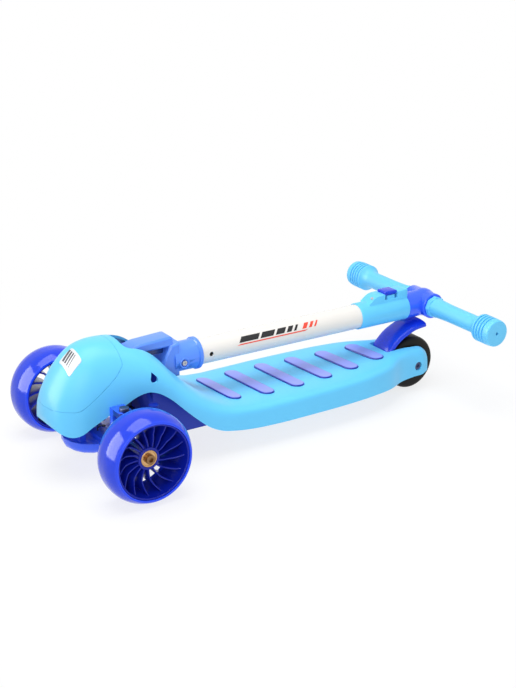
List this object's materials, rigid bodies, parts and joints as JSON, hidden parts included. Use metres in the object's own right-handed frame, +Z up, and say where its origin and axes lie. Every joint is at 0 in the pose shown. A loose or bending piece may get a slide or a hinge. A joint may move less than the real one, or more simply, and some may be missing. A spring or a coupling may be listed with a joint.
{
  "type": "three wheel kids scooter",
  "caption": "Child's lean-to-steer kick scooter, folded: moulded deck and cowl, paired front wheels, one rear wheel with foot brake, and a telescopic column with a T bar.",
  "frame": {"origin": "on the ground, in the middle of the scooter's footprint", "axes": "+X the way it rides, +Y the rider's left, +Z up"},
  "size_m": [0.635, 0.326, 0.172],
  "materials": {
    "sky_plastic": "satin sky blue moulding",
    "sky_rubber": "soft sky blue grip",
    "lavender_rubber": "matt lavender",
    "navy_plastic": "matt navy",
    "royal_plastic": "gloss royal blue",
    "elbow_plastic": "satin mid blue",
    "blue_tread": "glossy cast polyurethane",
    "blue_hub": "glossy moulded hub",
    "black_tyre": "matt black",
    "white_paint": "gloss white enamel",
    "steel": "bright zinc",
    "bronze": "bronze coloured bearing shield"
  },
  "bodies": {
    "chassis": {"deck_cowl": "sky_plastic", "nose_hood": "sky_plastic", "grip_strip_1": "lavender_rubber", "grip_strip_2": "lavender_rubber", "grip_strip_3": "lavender_rubber", "grip_strip_4": "lavender_rubber", "grip_strip_5": "lavender_rubber", "grip_strip_6": "lavender_rubber", "base_frame": "navy_plastic", "axle_carrier": "royal_plastic", "kingpin_left": "steel", "kingpin_right": "steel", "lean_shaft": "steel", "centring_spring_left": "steel", "centring_spring_right": "steel", "fender_pin": "steel", "fender_spring": "steel", "rear_axle_bolt": "steel", "rear_spacer_left": "steel", "rear_spacer_right": "steel"},
    "head": {"steering_head": "royal_plastic", "fold_pin": "steel", "lever_pin": "steel"},
    "lever": {"fold_lever": "royal_plastic"},
    "column": {"fold_elbow": "elbow_plastic", "stem_tube": "white_paint", "socket_bolt": "steel", "height_collar": "sky_plastic"},
    "button": {"height_button": "royal_plastic"},
    "handlebar": {"inner_tube": "steel", "bar_joint": "royal_plastic", "bar_tube": "steel", "grip_left": "sky_rubber", "grip_right": "sky_rubber"},
    "link": {"tie_rod": "steel"},
    "left_knuckle": {"knuckle_left": "royal_plastic", "axle_bolt_left": "steel"},
    "right_knuckle": {"knuckle_right": "royal_plastic", "axle_bolt_right": "steel"},
    "left_wheel": {"front_tread_left": "blue_tread", "front_hub_left": "blue_hub", "outer_bearing_left": "bronze", "inner_bearing_left": "steel"},
    "right_wheel": {"front_tread_right": "blue_tread", "front_hub_right": "blue_hub", "outer_bearing_right": "bronze", "inner_bearing_right": "steel"},
    "brake": {"rear_fender": "royal_plastic"},
    "back_wheel": {"rear_tyre": "black_tyre", "rear_hub": "royal_plastic", "rear_bearing_left": "steel", "rear_bearing_right": "steel"}
  },
  "joints": [
    {"name": "lean", "type": "hinge", "parent": "chassis", "child": "head", "pos_m": [0.2415, 0, 0.11], "axis": [1, 0, 0], "range_deg": [-12, 12], "stiffness_Nm_per_rad": 15, "deforming": ["centring_spring_left", "centring_spring_right"]},
    {"name": "tie_rod_slide", "type": "slide", "parent": "chassis", "child": "link", "axis": [0, 1, 0], "range_m": [-0.0065, 0.0065]},
    {"name": "steer_left", "type": "hinge", "parent": "chassis", "child": "left_knuckle", "pos_m": [0.2415, 0.076, 0.06], "axis": [0, 0, 1], "range_deg": [-8.6, 8.6]},
    {"name": "steer_right", "type": "hinge", "parent": "chassis", "child": "right_knuckle", "pos_m": [0.2415, -0.076, 0.06], "axis": [0, 0, 1], "range_deg": [-8.6, 8.6]},
    {"name": "left_wheel_spin", "type": "hinge", "parent": "left_knuckle", "child": "left_wheel", "pos_m": [0.2415, 0.128, 0.06], "axis": [0, 1, 0], "continuous": true},
    {"name": "right_wheel_spin", "type": "hinge", "parent": "right_knuckle", "child": "right_wheel", "pos_m": [0.2415, -0.128, 0.06], "axis": [0, 1, 0], "continuous": true},
    {"name": "back_wheel_spin", "type": "hinge", "parent": "chassis", "child": "back_wheel", "pos_m": [-0.266, 0, 0.0395], "axis": [0, 1, 0], "continuous": true},
    {"name": "fold", "type": "hinge", "parent": "head", "child": "column", "pos_m": [0.1935, 0, 0.14], "axis": [0, 1, 0], "range_deg": [0, 84]},
    {"name": "fold_lever_press", "type": "hinge", "parent": "head", "child": "lever", "pos_m": [0.1755, 0, 0.124], "axis": [0, 1, 0], "range_deg": [0, 12], "stiffness_Nm_per_rad": 0.3, "springref_deg": -11.46},
    {"name": "height_slide", "type": "slide", "parent": "column", "child": "handlebar", "axis": [-1, 0, 0], "range_m": [0, 0.18]},
    {"name": "height_button_press", "type": "slide", "parent": "column", "child": "button", "axis": [0, 0, -1], "range_m": [0, 0.003], "stiffness_N_per_m": 400, "springref_m": -0.002},
    {"name": "brake_press", "type": "hinge", "parent": "chassis", "child": "brake", "pos_m": [-0.2219, 0, 0.058], "axis": [0, -1, 0], "range_deg": [0, 11], "stiffness_Nm_per_rad": 0.8, "springref_deg": -8.59}
  ],
  "couplings": [
    {"joint": "tie_rod_slide", "follows": "lean", "m_per_rad": 0.03},
    {"joint": "steer_left", "follows": "lean", "ratio": -0.7143},
    {"joint": "steer_right", "follows": "lean", "ratio": -0.7143}
  ]
}
